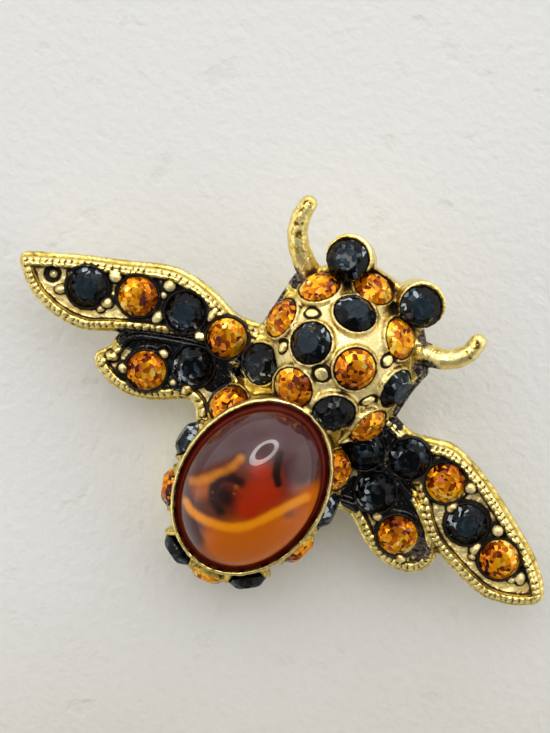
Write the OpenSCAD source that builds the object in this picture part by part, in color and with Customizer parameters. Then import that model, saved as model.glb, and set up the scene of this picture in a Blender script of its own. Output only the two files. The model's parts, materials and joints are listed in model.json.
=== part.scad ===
// Bee brooch: a cast metal bee with a glass cabochon for its abdomen, round faceted stones and a pin on its back.
// The bee is laid out flat, with its nose along +Y and its wings along X, and then tipped as it lies on a table.

/* [Stones] */
// Diameter of the round faceted stones
stone_d = 3.1; // [2.9:0.05:3.3]
// Metal left between two neighbouring stones
stone_web = 0.25; // [0.2:0.01:0.4]
// Diameter of the two eye stones
eye_stone_d = 3.15; // [2.9:0.05:3.3]
// Clearance all round between a stone and the metal that holds it
seat_gap = 0.05; // [0.03:0.01:0.08]

/* [Abdomen] */
// Length of the glass cabochon
cabochon_l = 14; // [13:0.1:15.5]
// Width of the glass cabochon
cabochon_w = 10.7; // [10:0.1:11.5]
// Height of the cabochon's dome above its girdle
cabochon_h = 3.9; // [3:0.1:4.5]
// Thickness of the bezel's metal
bezel_wall = 0.28; // [0.2:0.01:0.4]
// Height of the bezel's edge above the underside of the wings
bezel_z = 6; // [5.4:0.1:6.4]
// Depth of the abdomen below the underside of the wings
belly_drop = 1.5; // [1:0.1:1.8]
// How much wider than the bezel the foot of the abdomen is on each side
belly_flare = 0.5; // [0.3:0.05:0.8]
// How far the tail's foot reaches behind the bezel
tail_flare = 1.4; // [1.2:0.1:2]

/* [Thorax and head] */
// Radius of the thorax dome, out to its stones
thorax_r = 5.85; // [5.8:0.05:6.2]
// Height of the thorax plate
plate_h = 2.2; // [1.6:0.1:2.6]
// Thickness of the metal ring round a stone
collar_wall = 0.3; // [0.2:0.05:0.4]
// Thickness of the metal crescent in front of an eye
eye_wall = 0.5; // [0.4:0.05:0.7]
// Radius of an antenna where it leaves the head
antenna_r = 0.95; // [0.8:0.05:1.1]
// Radius of an antenna at its tip
antenna_tip_r = 0.72; // [0.6:0.02:0.8]

/* [Wings] */
// Height of a fore wing's rim above its underside
fore_h = 2; // [1.8:0.1:2.4]
// Height of a fore wing's sunken floor
fore_floor = 1.25; // [1.2:0.05:1.5]
// Height of a hind wing's rim above its underside
hind_h = 1.7; // [1.5:0.1:1.9]
// Height of a hind wing's sunken floor
hind_floor = 1; // [0.9:0.05:1.2]
// Width of a wing's rim
rim_w = 1; // [0.8:0.05:1.1]
// Radius of a prong bead
bead_r = 0.42; // [0.35:0.01:0.48]

/* [Pin] */
// Length of the pin's bar
bar_l = 24; // [22:0.5:26]
// Width of the pin's bar
bar_w = 2.4; // [2.2:0.1:2.8]
// Thickness of the pin's bar
bar_t = 0.8; // [0.7:0.05:0.9]
// Radius of the hinge barrel and of the catch
barrel_r = 1.1; // [1:0.05:1.3]
// Radius of the pin's stem
stem_r = 0.4; // [0.35:0.01:0.5]
// Distance from the back of the brooch to the pin's stem
stem_drop = 3.4; // [3.2:0.1:4]
// Clearance between the bar and the back of the brooch
bar_gap = 0.06; // [0.04:0.01:0.1]

/* [Hidden] */
$fn = 48;

// One stone and the metal beside it: the step that the whole layout is measured in
pitch = stone_d + stone_web;

// How far the bezel's edge stands above the cabochon's girdle
bezel_rise = 0.35;
// Height of the cabochon's straight side
lip_h = 0.5;
// Room between the pin's bar and the front of the abdomen's foot
bar_room = 0.5;
// How far a collar stands above its stone's girdle
collar_rise = 0.12;
// Height of the open space over a stone's table
seat_open = 0.6;
// Radius of the bottom of a stone's seat
seat_tip_r = 0.12;
// How far the dome's skin lies under the girdles of its stones
dome_sink = 0.15;
// How far the waist's plate stays inside the bezel on each side, and under the floors of the wings
waist_in = 0.2;
waist_drop = 0.1;
// How far the pin's bar reaches past its barrels
bar_end = 0.4;
// How far the pin's stem reaches past the middle of the catch
stem_over = 2;

// Cut of a stone, as shares of its diameter
TABLE = 0.56;
CROWN = 0.21;
GIRDLE = 0.05;
PAVILION = 0.4;

// Colours
gold = [0.82, 0.68, 0.3];
amber = [0.86, 0.47, 0.05];
jet = [0.06, 0.06, 0.08];
glass = [0.5, 0.12, 0.03];
A = 1;
J = 0;

// The abdomen: its front edge lies just behind the thorax stones, and it grows backwards and sideways
bezel_front = -1.224 * pitch;
bezel_a = cabochon_l / 2 + seat_gap + bezel_wall;
bezel_b = cabochon_w / 2 + seat_gap + bezel_wall;
bezel_y = bezel_front - bezel_a;
bar_y = -pitch;
belly_front = bar_y - bar_w / 2 - bar_room;
tail_y = bezel_y - bezel_a - tail_flare;
belly_a = (belly_front - tail_y) / 2;
belly_b = bezel_b + belly_flare;
belly_y = (belly_front + tail_y) / 2;
girdle_z = bezel_z - bezel_rise;

// Thorax stones. Columns: x, y and z as shares of the thorax radius, lean to the front, lean to the right, colour
THORAX = [
    [-0.675, 0.684, 0.632, 46, -36, A],
    [-0.077, 1.03, 0.46, 56, -2, A],
    [-0.872, 0.085, 0.667, 5, -56, A],
    [-0.111, 0.684, 0.897, 44, -6, J],
    [-0.376, 0.085, 1.103, 4, -21, J],
    [0.55, 0.7, 0.69, 46, 34, A],
    [0.274, 0.12, 1.128, 5, 15, A],
    [-0.256, -0.538, 0.991, -24, -12, A],
    [0.863, 0.12, 0.667, 6, 57, J],
    [0.359, -0.53, 0.966, -24, 20, J],
    [0.838, -0.496, 0.632, -20, 56, A],
    [-0.778, -0.598, 0.55, -12, -26, J]
];

// Eyes. Columns: side, y and z as shares of the thorax radius, lean to the front, lean to the outside
EYE_X = 0.565;
EYE_Y = 1.175;
EYE_Z = 0.57;
EYE_FRONT = 8;
EYE_OUT = 10;

// Wing stones. Columns: steps out from the side of the bezel, steps back from the thorax's middle, height, colour
LEFT_STONES = [
    [0.64, 1.04, 1.8, A],
    [1.77, 1.07, 1.75, J],
    [2.89, 1.36, 1.75, A],
    [4, 1.83, 1.75, J],
    [1.81, 2.74, 1.5, A],
    [0.94, 2.04, 1.6, J]
];
RIGHT_STONES = [
    [1.02, 1.09, 1.8, J],
    [2.02, 1.1, 1.75, A],
    [2.96, 1.65, 1.75, J],
    [4.04, 1.92, 1.75, A],
    [1.78, 2.77, 1.5, A],
    [0.8, 2.2, 1.6, J],
    [0.02, 1.5, 1.8, J]
];

// Wing outlines, clockwise round the right side. Columns: steps out from the bezel, steps back from the thorax's middle
LEFT_FORE = [
    [-0.3, 0.4], [0.72, 0.51], [1.31, 0.37], [2, 0.3], [2.66, 0.4], [3.55, 0.85], [4.45, 1.28],
    [5.19, 1.69], [5.61, 1.93], [5.73, 2.08], [5.6, 2.3], [5.04, 2.7], [4.3, 2.86], [3.55, 2.77],
    [2.96, 2.42], [2.36, 2.09], [1.76, 1.79], [1.25, 1.55], [0.72, 1.52], [-0.3, 1.58]
];
RIGHT_FORE = [
    [-0.3, 0.48], [0.72, 0.58], [1.19, 0.46], [1.67, 0.3], [2.21, 0.37], [2.96, 0.6], [3.85, 1.01],
    [4.75, 1.49], [5.25, 1.91], [5.42, 2.18], [5.32, 2.44], [4.9, 2.73], [4.3, 2.92], [3.7, 2.86],
    [3.04, 2.7], [2.51, 2.52], [2.09, 2.24], [1.7, 1.85], [1.37, 1.64], [0.72, 1.58], [-0.3, 1.61]
];
LEFT_HIND = [
    [-0.25, 1.4], [1.01, 1.36], [1.9, 1.66], [2.6, 2.02], [2.82, 2.4], [2.86, 2.78], [3.03, 3.04],
    [2.97, 3.26], [2.66, 3.43], [2.21, 3.53], [1.67, 3.45], [1.19, 3.21], [0.81, 2.92], [0.57, 2.82],
    [0.36, 2.93], [0.18, 3.16], [-0.25, 3.25]
];
RIGHT_HIND = [
    [-0.25, 1.4], [1.01, 1.45], [1.9, 1.75], [2.6, 2.3], [2.8, 2.7], [2.82, 2.96], [2.72, 3.22],
    [2.48, 3.43], [2.06, 3.54], [1.61, 3.5], [1.16, 3.33], [0.81, 3.11], [0.51, 2.99], [0.3, 3.07],
    [0.15, 3.28], [-0.25, 3.37]
];

// Prong beads on the wings' floors. Columns: steps out, steps back, on a fore wing (1) or a hind wing (0)
LEFT_BEADS = [[1.24, 0.77, 1], [2.4, 0.75, 1], [2.25, 1.53, 1], [3.58, 1.26, 1], [3.45, 1.9, 1], [1.7, 2.17, 0],
    [2.28, 3, 0]];
RIGHT_BEADS = [[2.57, 0.88, 1], [2.45, 1.5, 1], [3.64, 1.37, 1], [3.46, 2.07, 1], [4.68, 2.05, 1], [1.15, 2.65, 0],
    [2.2, 3.1, 0]];

// Prong beads on the dome. Columns: lean to the front, lean to the right
DOME_BEADS = [[25, -36], [27, 36], [-13, -3], [-18, 42], [-20, -42]];

// Empty bead hole near the tip of the left wing: steps out, steps back, radius and depth as shares of a bead's radius
TIP_HOLE = [4.86, 2.04, 1.67, 0.83];

// Antennae. Columns: x, y and z as shares of the thorax radius
LEFT_ANTENNA = [[-0.82, 0.7, 0.26], [-1, 0.8, 0.33], [-1.18, 0.94, 0.4], [-1.32, 1.12, 0.44], [-1.385, 1.32, 0.46],
    [-1.385, 1.5, 0.46]];
RIGHT_ANTENNA = [[0.82, 0.62, 0.26], [1, 0.68, 0.33], [1.18, 0.74, 0.4], [1.34, 0.86, 0.44], [1.43, 1.02, 0.46],
    [1.445, 1.19, 0.46]];

// Stones round the abdomen. Columns: angle round the ellipse, height as a share of the wall, how far it stands out
// and how far it leans up, as a share of a step and in degrees, and colour
WALL = [
    [38, 0.64, 0.06, 36, A], [12, 0.6, 0.02, 4, J], [343, 0.58, 0.01, 0, A],
    [305, 0.6, 0.14, 0, J], [277.5, 0.4, 0.14, 0, A], [251, 0.6, 0.14, 0, J],
    [209, 0.6, 0.01, 0, A], [177, 0.6, 0.05, 4, J], [145, 0.6, 0.05, 50, A]
];

// Prong knob under the tail's stone: angle, height share, how far it stands out as a share of a step
TAIL_KNOB = [279, 0.22, 0.22];

// The tail's foot and the pin's two round ends carry the brooch, which sets how far it tips back
ends_y = bar_y - tail_y;
ends_z = stem_drop - belly_drop;
tip_angle = asin(barrel_r / norm([ends_y, ends_z])) + atan2(ends_z, ends_y);
lift = -(tail_y * sin(tip_angle) - belly_drop * cos(tip_angle));
// The middle of the whole between the wings' tips, and between the antenna's tip and the table of the tail's stone
middle_x = (LEFT_FORE[9][0] - RIGHT_FORE[9][0]) * pitch / 2;
nose = LEFT_ANTENNA[5] * thorax_r + [0, antenna_tip_r, 0];
tail = wall_point(WALL[4][0], WALL[4][1])
    + wall_normal(WALL[4][0], WALL[4][1]) * (WALL[4][2] * pitch + (CROWN + GIRDLE / 2) * stone_d);
middle_y = -((nose[1] + tail[1]) * cos(tip_angle) - (nose[2] + tail[2]) * sin(tip_angle)) / 2;

// Point at share t of the smooth curve through four points
function curve_point(a, b, c, d, t) =
    0.5 * (2 * b + (c - a) * t + (2 * a - 5 * b + 4 * c - d) * t * t + (3 * b - a - 3 * c + d) * t * t * t);

// Closed smooth outline through the points of a table
function smooth(p, steps = 4) = let (n = len(p)) [
    for (i = [0:n - 1], k = [0:steps - 1])
        curve_point(p[(i + n - 1) % n], p[i], p[(i + 1) % n], p[(i + 2) % n], k / steps)
];

// Distance from a point to a stretch of line
function reach(q, a, b) = let (t = max(0, min(1, (q - a) * (b - a) / ((b - a) * (b - a))))) norm(q - a - t * (b - a));

// Direction of an outline at its point i, and that point moved inwards by d
function heading(p, i) = let (n = len(p)) p[(i + 1) % n] - p[(i + n - 1) % n];
function moved(p, i, d) = let (n = len(p), along = heading(p, (i + n) % n))
    p[(i + n) % n] + d * [along[1], -along[0]] / norm(along);

// Outline moved inwards by d, without the points that its sharp turns would crowd together or fold over
function inset(p, d) = let (n = len(p)) [
    for (i = [0:n - 1])
        let (
            q = moved(p, i, d),
            along = heading(p, i),
            kept = (moved(p, i + 1, d) - moved(p, i - 1, d)) * along / (along * along)
        )
        if (kept > 0.5 && min([for (j = [0:n - 1]) reach(q, p[j], p[(j + 1) % n])]) > d * 0.97) q
];

// A table's steps in millimetres, for the side s (1 is right, -1 is left)
function place(row, s) = [s * (bezel_b + row[0] * pitch), -row[1] * pitch];

// A wing's outline, turned so that its inside is always on the right of its path
function outline(table, s) = let (p = smooth([for (row = table) place(row, s)]), n = len(p))
    s > 0 ? p : [for (i = [0:n - 1]) p[n - 1 - i]];

// Half axes, middle and height of the abdomen's wall at share t up from its foot
function wall_a(t) = belly_a + (bezel_a - belly_a) * t;
function wall_b(t) = belly_b + (bezel_b - belly_b) * t;
function wall_y(t) = belly_y + (bezel_y - belly_y) * t;
function wall_z(t) = -belly_drop + (bezel_z + belly_drop) * t;
function wall_point(angle, t) = [wall_b(t) * cos(angle), wall_y(t) + wall_a(t) * sin(angle), wall_z(t)];

// Outward direction of the wall, from how it runs round and up
function wall_normal(angle, t) =
    let (round = wall_point(angle + 1, t) - wall_point(angle - 1, t), up = wall_point(angle, 1) - wall_point(angle, 0))
    cross(round, up) / norm(cross(round, up));

// Puts what is drawn round +Z at a point, leaning to the front and to the right
module lean(p, front, side) {
    translate(p) rotate([-front, 0, 0]) rotate([0, side, 0]) children();
}

// Puts what is drawn round +Z at a point, along a direction
module aim(p, n) {
    translate(p) rotate([0, acos(n[2]), atan2(n[1], n[0])]) children();
}

module on_thorax(row) {
    lean([for (k = [0:2]) row[k] * thorax_r], row[3], row[4]) children();
}

module on_eye(s) {
    lean([s * EYE_X, EYE_Y, EYE_Z] * thorax_r, EYE_FRONT, s * EYE_OUT) children();
}

module on_wing(row, s) {
    p = place(row, s);
    translate([p[0], p[1], row[2]]) children();
}

module on_wall(row) {
    aim(wall_point(row[0], row[1]), wall_normal(row[0], row[1]))
        translate([0, 0, row[2] * pitch]) rotate([0, -row[3], 0]) children();
}

// Round cut stone: a table, eight stars, eight kites and sixteen upper girdle facets, and sixteen facets below
module stone(d) {
    r = d / 2;
    top = CROWN * d;
    table_r = TABLE * r;
    star_r = (table_r + r) / 2;
    star_z = top - (star_r * cos(22.5) - table_r) * top / (r - table_r);
    low = GIRDLE * d / 2;
    points = concat(
        [for (i = [0:7]) [table_r * cos(45 * i), table_r * sin(45 * i), top + low]],
        [for (i = [0:7]) [star_r * cos(45 * i + 22.5), star_r * sin(45 * i + 22.5), star_z + low]],
        [for (i = [0:15]) [r * cos(22.5 * i), r * sin(22.5 * i), low]],
        [for (i = [0:15]) [r * cos(22.5 * i), r * sin(22.5 * i), -low]],
        [[0, 0, -low - PAVILION * d]]
    );
    star = 8;
    upper = 16;
    lower = 32;
    culet = 48;
    faces = concat(
        [[for (i = [0:7]) 7 - i]],
        [for (i = [0:7]) [i, (i + 1) % 8, star + i]],
        [for (i = [0:7]) [i, star + i, upper + 2 * i]],
        [for (i = [0:7]) [i, upper + 2 * i, star + (i + 7) % 8]],
        [for (i = [0:7]) [star + i, upper + 2 * i + 1, upper + 2 * i]],
        [for (i = [0:7]) [star + i, upper + (2 * i + 2) % 16, upper + 2 * i + 1]],
        [for (i = [0:15]) [upper + i, upper + (i + 1) % 16, lower + (i + 1) % 16]],
        [for (i = [0:15]) [upper + i, lower + (i + 1) % 16, lower + i]],
        [for (i = [0:15]) [lower + i, lower + (i + 1) % 16, culet]]
    );
    polyhedron(points, faces);
}

// Space for a stone: a cone under it and a cylinder over it
module seat(d) {
    r = d / 2 + seat_gap;
    low = GIRDLE * d / 2 + seat_gap;
    depth = PAVILION * d + seat_gap;
    translate([0, 0, -low]) cylinder(h = low + CROWN * d + seat_open, r = r);
    translate([0, 0, -low - depth]) cylinder(h = depth + 0.01, r1 = seat_tip_r, r2 = r);
}

// Ring of metal under and round a stone
module collar(d, wall, depth) {
    translate([0, 0, -depth]) cylinder(h = depth + collar_rise, r = d / 2 + wall);
}

// Wing plate with a stepped rim and a sunken floor
module wing(table, s, h, floor_z) {
    p = outline(table, s);
    step = rim_w * 0.3;
    difference() {
        union() {
            linear_extrude(h * 0.5) polygon(p);
            linear_extrude(h * 0.8) polygon(inset(p, step));
            linear_extrude(h) polygon(inset(p, 2 * step));
        }
        translate([0, 0, floor_z]) linear_extrude(h) polygon(inset(p, rim_w));
    }
}

// Prong beads that stand on the wings' floors
module wing_beads(table, s) {
    for (row = table) translate(concat(place(row, s), [(row[2] == 1 ? fore_floor : hind_floor) + 0.65 * bead_r]))
        sphere(r = bead_r);
}

// Plate under the thorax and the head
module head_plate() {
    w = 1.05 * thorax_r;
    neck = 0.58 * thorax_r;
    brow = 1.27 * thorax_r;
    linear_extrude(plate_h) polygon([
        [-w, -0.5 * thorax_r], [-w, neck], [-0.85 * thorax_r, neck + 0.25 * thorax_r], [-0.4 * thorax_r, brow],
        [-0.17 * thorax_r, brow - 0.02 * thorax_r], [0.17 * thorax_r, brow - 0.02 * thorax_r], [0.4 * thorax_r, brow],
        [0.85 * thorax_r, neck + 0.25 * thorax_r], [1.14 * thorax_r, 0.46 * thorax_r], [1.095 * thorax_r, 0.2 * thorax_r],
        [1.095 * thorax_r, -0.5 * thorax_r]
    ]);
}

// Plate that joins the thorax, the wings' roots and the abdomen
module waist() {
    w = bezel_b - waist_in;
    translate([-w, bezel_y, 0]) cube([2 * w, -bezel_y - 0.3 * thorax_r, fore_floor - waist_drop]);
}

// Thorax dome, cut flat at the underside of the brooch
module dome() {
    ball_r = thorax_r - dome_sink;
    ball_z = 0.17 * thorax_r;
    intersection() {
        translate([0, 0.05 * thorax_r, ball_z]) sphere(r = ball_r);
        translate([-2 * thorax_r, -2 * thorax_r, 0]) cube([4 * thorax_r, 4 * thorax_r, 3 * thorax_r]);
    }
}

// Round rod swept along the points of a table, thinner and round at its end
module antenna(table) {
    p = [for (row = table) row * thorax_r];
    n = len(p);
    sides = 12;
    rounds = 3;
    last = p[n - 1];
    ahead = (last - p[n - 2]) / norm(last - p[n - 2]);
    path = concat(p, [for (k = [1:rounds]) last + ahead * antenna_tip_r * sin(90 * k / rounds - 4)]);
    radii = concat(
        [for (i = [0:n - 1]) antenna_r + (antenna_tip_r - antenna_r) * i / (n - 1)],
        [for (k = [1:rounds]) antenna_tip_r * cos(90 * k / rounds - 4)]
    );
    m = len(path);
    points = [
        for (i = [0:m - 1])
            let (
                run = path[min(i + 1, m - 1)] - path[max(i - 1, 0)],
                f = run / norm(run),
                side = cross(f, [0, 0, 1]) / norm(cross(f, [0, 0, 1])),
                up = cross(f, side)
            )
            for (k = [0:sides - 1]) path[i] + radii[i] * (side * cos(360 * k / sides) + up * sin(360 * k / sides))
    ];
    polyhedron(points, concat(
        [[for (k = [0:sides - 1]) k]],
        [for (i = [0:m - 2], k = [0:sides - 1]) let (q = (k + 1) % sides)
            [i * sides + k, (i + 1) * sides + k, (i + 1) * sides + q, i * sides + q]],
        [[for (k = [0:sides - 1]) (m - 1) * sides + sides - 1 - k]]
    ));
}

// Solid between two ellipses of the same number of sides
module ellipse_loft(rings, sides = 64) {
    points = [
        for (g = rings, k = [0:sides - 1])
            [g[1] * cos(360 * k / sides), g[2] + g[0] * sin(360 * k / sides), g[3]]
    ];
    n = len(rings);
    polyhedron(points, concat(
        [[for (k = [0:sides - 1]) k]],
        [for (i = [0:n - 2], k = [0:sides - 1]) let (q = (k + 1) % sides)
            [i * sides + k, (i + 1) * sides + k, (i + 1) * sides + q, i * sides + q]],
        [[for (k = [0:sides - 1]) n * sides - 1 - k]]
    ));
}

// Abdomen wall, from its foot to the edge of the bezel
module belly() {
    ellipse_loft([[belly_a, belly_b, belly_y, -belly_drop], [bezel_a, bezel_b, bezel_y, bezel_z]]);
}

// Room for the cabochon
module cabochon_seat() {
    a = cabochon_l / 2 + seat_gap;
    b = cabochon_w / 2 + seat_gap;
    floor_z = girdle_z - lip_h - seat_gap;
    ellipse_loft([[a, b, bezel_y, floor_z], [a, b, bezel_y, bezel_z + seat_open]]);
}

module casting() {
    color(gold) difference() {
        union() {
            wing(LEFT_FORE, -1, fore_h, fore_floor);
            wing(RIGHT_FORE, 1, fore_h, fore_floor);
            wing(LEFT_HIND, -1, hind_h, hind_floor);
            wing(RIGHT_HIND, 1, hind_h, hind_floor);
            head_plate();
            waist();
            dome();
            belly();
            antenna(LEFT_ANTENNA);
            antenna(RIGHT_ANTENNA);
            for (row = THORAX) on_thorax(row) collar(stone_d, collar_wall, stone_d * 0.7);
            for (s = [-1, 1]) on_eye(s) translate([0, eye_wall / 2, 0])
                collar(eye_stone_d, eye_wall / 2, EYE_Z * thorax_r * 0.8);
            for (row = WALL) on_wall(row) collar(stone_d, collar_wall, stone_d * 0.5);
            on_wall(concat(TAIL_KNOB, [0])) {
                translate([0, 0, -0.3 * pitch]) cylinder(h = 0.3 * pitch, r = 1.1 * bead_r);
                sphere(r = 1.3 * bead_r);
            }
            for (row = LEFT_STONES) on_wing(row, -1) collar(stone_d, collar_wall * 0.6, row[2] * 0.8);
            for (row = RIGHT_STONES) on_wing(row, 1) collar(stone_d, collar_wall * 0.6, row[2] * 0.8);
            wing_beads(LEFT_BEADS, -1);
            wing_beads(RIGHT_BEADS, 1);
            for (row = DOME_BEADS) lean([0, 0.05, 0.17] * thorax_r, row[0], row[1])
                translate([0, 0, thorax_r - dome_sink]) sphere(r = bead_r);
        }
        for (row = THORAX) on_thorax(row) seat(stone_d);
        for (s = [-1, 1]) on_eye(s) seat(eye_stone_d);
        for (row = WALL) on_wall(row) seat(stone_d);
        for (row = LEFT_STONES) on_wing(row, -1) seat(stone_d);
        for (row = RIGHT_STONES) on_wing(row, 1) seat(stone_d);
        on_wing([TIP_HOLE[0], TIP_HOLE[1], fore_floor - TIP_HOLE[3] * bead_r], -1)
            cylinder(h = fore_h, r = TIP_HOLE[2] * bead_r);
        cabochon_seat();
    }
}

// Glass dome: a short straight girdle, then a rounded top
module cabochon() {
    a = cabochon_l / 2;
    b = cabochon_w / 2;
    rounds = 9;
    color(glass) ellipse_loft(concat(
        [[a, b, bezel_y, girdle_z - lip_h]],
        [for (k = [0:rounds]) let (t = 86 * k / rounds)
            [a * cos(t), b * cos(t), bezel_y, girdle_z + cabochon_h * sin(t)]]
    ), 48);
}

// Pin finding: bar, hinge barrel and catch on their posts, and the stem between them
module pin_back() {
    end_x = bar_l / 2 - barrel_r - bar_end;
    top = -bar_gap;
    color([0.75, 0.72, 0.62]) translate([0, bar_y, 0]) {
        translate([0, 0, top - bar_t]) linear_extrude(bar_t) {
            square([bar_l - bar_w, bar_w], center = true);
            for (s = [-1, 1]) translate([s * (bar_l - bar_w) / 2, 0]) circle(d = bar_w);
        }
        for (s = [-1, 1]) translate([s * end_x, 0, 0]) {
            translate([-barrel_r, -barrel_r * 0.8, -stem_drop])
                cube([2 * barrel_r, 1.6 * barrel_r, stem_drop + top - bar_t / 2]);
            translate([-barrel_r, 0, -stem_drop]) rotate([0, 90, 0]) cylinder(h = 2 * barrel_r, r = barrel_r);
        }
        translate([-end_x, 0, -stem_drop]) rotate([0, 90, 0]) cylinder(h = 2 * end_x + stem_over, r = stem_r);
    }
}

// Lays the finished brooch down on its tail and its pin
module at_rest() {
    translate([middle_x, middle_y, lift]) rotate([tip_angle, 0, 0]) children();
}

module eye_stone(s) color(jet) on_eye(s) stone(eye_stone_d);
module thorax_stone(row) color(row[5] == A ? amber : jet) on_thorax(row) stone(stone_d);
module wing_stone(row, s) color(row[3] == A ? amber : jet) on_wing(row, s) stone(stone_d);
module abdomen_stone(row) color(row[4] == A ? amber : jet) on_wall(row) stone(stone_d);

at_rest() casting();
at_rest() pin_back();
at_rest() cabochon();
at_rest() eye_stone(-1);  // eye_stone_left
at_rest() eye_stone(1);  // eye_stone_right
for (i = [1:len(THORAX)])
    at_rest() thorax_stone(THORAX[i - 1]);
for (i = [1:len(LEFT_STONES)])
    at_rest() wing_stone(LEFT_STONES[i - 1], -1);
for (i = [1:len(RIGHT_STONES)])
    at_rest() wing_stone(RIGHT_STONES[i - 1], 1);
for (i = [1:len(WALL)])
    at_rest() abdomen_stone(WALL[i - 1]);
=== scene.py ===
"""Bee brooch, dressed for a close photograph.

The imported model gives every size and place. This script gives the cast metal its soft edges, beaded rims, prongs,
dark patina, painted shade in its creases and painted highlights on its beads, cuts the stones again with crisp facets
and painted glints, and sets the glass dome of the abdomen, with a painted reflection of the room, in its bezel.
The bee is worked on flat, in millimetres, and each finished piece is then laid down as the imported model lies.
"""

import json
import logging
import math
from collections.abc import Callable, Iterator, Sequence
from contextlib import contextmanager
from dataclasses import dataclass, field
from enum import Enum

import bpy
import numpy as np
from mathutils import Matrix, Vector, kdtree, noise
from mathutils.bvhtree import BVHTree

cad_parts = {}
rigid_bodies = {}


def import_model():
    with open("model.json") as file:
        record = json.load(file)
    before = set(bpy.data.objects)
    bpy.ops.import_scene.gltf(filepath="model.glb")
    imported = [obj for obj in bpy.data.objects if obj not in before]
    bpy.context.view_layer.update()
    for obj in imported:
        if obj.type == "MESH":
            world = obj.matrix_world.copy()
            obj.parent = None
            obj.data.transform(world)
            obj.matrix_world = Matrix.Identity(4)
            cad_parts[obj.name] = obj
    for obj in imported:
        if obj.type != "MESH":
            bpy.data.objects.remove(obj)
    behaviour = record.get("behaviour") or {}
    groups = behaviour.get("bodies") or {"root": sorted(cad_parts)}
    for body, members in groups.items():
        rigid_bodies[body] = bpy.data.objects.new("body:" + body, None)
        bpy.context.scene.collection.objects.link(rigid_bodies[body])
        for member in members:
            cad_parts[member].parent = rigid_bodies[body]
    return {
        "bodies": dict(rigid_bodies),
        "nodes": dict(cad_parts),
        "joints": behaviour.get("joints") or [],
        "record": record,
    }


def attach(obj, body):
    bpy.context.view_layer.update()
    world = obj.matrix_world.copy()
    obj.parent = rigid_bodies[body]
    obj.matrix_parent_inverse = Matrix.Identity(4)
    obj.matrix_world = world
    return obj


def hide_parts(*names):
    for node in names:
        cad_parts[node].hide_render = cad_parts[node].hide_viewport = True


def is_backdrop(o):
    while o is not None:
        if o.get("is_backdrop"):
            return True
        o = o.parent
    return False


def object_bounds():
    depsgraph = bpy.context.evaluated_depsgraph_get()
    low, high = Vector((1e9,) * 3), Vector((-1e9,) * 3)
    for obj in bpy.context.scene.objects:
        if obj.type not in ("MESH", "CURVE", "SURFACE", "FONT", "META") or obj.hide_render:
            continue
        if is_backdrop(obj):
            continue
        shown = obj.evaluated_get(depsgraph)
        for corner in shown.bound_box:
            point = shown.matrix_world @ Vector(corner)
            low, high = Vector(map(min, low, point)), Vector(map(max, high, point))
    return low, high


LOG = logging.getLogger("bee_brooch")

Colour = tuple[float, float, float]
Points = np.ndarray
Line = Sequence[tuple[float, float]]
Values = dict[str | int, object] | None
Piece = bpy.types.Object
Material = bpy.types.Material
Box = tuple[tuple[float, ...], tuple[float, ...]]

# How far the photograph is turned from the bee, about the vertical
PHOTO_TURN = math.radians(33)
# How close two vertices are merged, in millimetres
MERGE = 0.0005


# Work on meshes


def pick(*pieces: Piece) -> None:
    """Select only these pieces.

    Args:
        pieces: the mesh objects, the first of which becomes the active one.
    """
    bpy.ops.object.select_all(action="DESELECT")
    for piece in pieces:
        piece.select_set(True)
    bpy.context.view_layer.objects.active = pieces[0]


@contextmanager
def editing(piece: Piece) -> Iterator[None]:
    """Hold a piece in edit mode with all of its mesh selected.

    Args:
        piece: the mesh object.

    Yields:
        Nothing, while the piece is in edit mode.
    """
    pick(piece)
    bpy.ops.object.mode_set(mode="EDIT")
    bpy.ops.mesh.select_all(action="SELECT")
    yield
    bpy.ops.object.mode_set(mode="OBJECT")


def started(name: str) -> Piece:
    """Name the primitive that was just added, and bake its place into its mesh.

    Args:
        name: the name of the piece and of its mesh.

    Returns:
        The piece, with its object at the origin.
    """
    piece = bpy.context.object
    piece.name = piece.data.name = name
    bpy.ops.object.transform_apply(location=True, rotation=True, scale=True)
    return piece


def finished(piece: Piece, kind: str, **settings: object) -> None:
    """Put a modifier on a piece, set it, and apply it.

    Args:
        piece: the mesh object.
        kind: Blender's name of the modifier's type.
        settings: values of the modifier's own fields.
    """
    pick(piece)
    modifier = piece.modifiers.new(kind.lower(), kind)
    for name, value in settings.items():
        setattr(modifier, name, value)
    bpy.ops.object.modifier_apply(modifier=modifier.name)


def read(rows: bpy.types.bpy_prop_collection, name: str) -> Points:
    """Read a vector of each of a mesh's vertices.

    Args:
        rows: the mesh's vertices or their normals.
        name: the field to read.

    Returns:
        Three columns, and a row for each vertex.
    """
    values = np.empty(len(rows) * 3, np.float32)
    rows.foreach_get(name, values)
    return values.reshape(-1, 3).astype(float)


def corners(piece: Piece) -> Points:
    """Give the places of a mesh's vertices."""
    return read(piece.data.vertices, "co")


def outward(piece: Piece) -> Points:
    """Give the normals of a mesh's vertices."""
    return read(piece.data.vertex_normals, "vector")


def shape(piece: Piece, co: Points) -> None:
    """Move a mesh's vertices to new places."""
    piece.data.vertices.foreach_set("co", co.astype(np.float32).ravel())
    piece.data.update()


def paint(piece: Piece, name: str, values: Points) -> None:
    """Store a number or a vector for each vertex.

    Args:
        piece: the mesh object.
        name: the name by which a finish reads them.
        values: one number or three for each vertex.
    """
    kind = "FLOAT" if values.ndim == 1 else "FLOAT_VECTOR"
    layer = piece.data.attributes.get(name) or piece.data.attributes.new(name, kind, "POINT")
    layer.data.foreach_set("value" if values.ndim == 1 else "vector", values.astype(np.float32).ravel())


def again(master: Piece, name: str) -> Piece:
    """Copy a piece, with a mesh of its own.

    Args:
        master: the piece to copy.
        name: the copy's name.

    Returns:
        The copy.
    """
    pick(master)
    bpy.ops.object.duplicate()
    bpy.context.object.name = bpy.context.object.data.name = name
    return bpy.context.object


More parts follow.
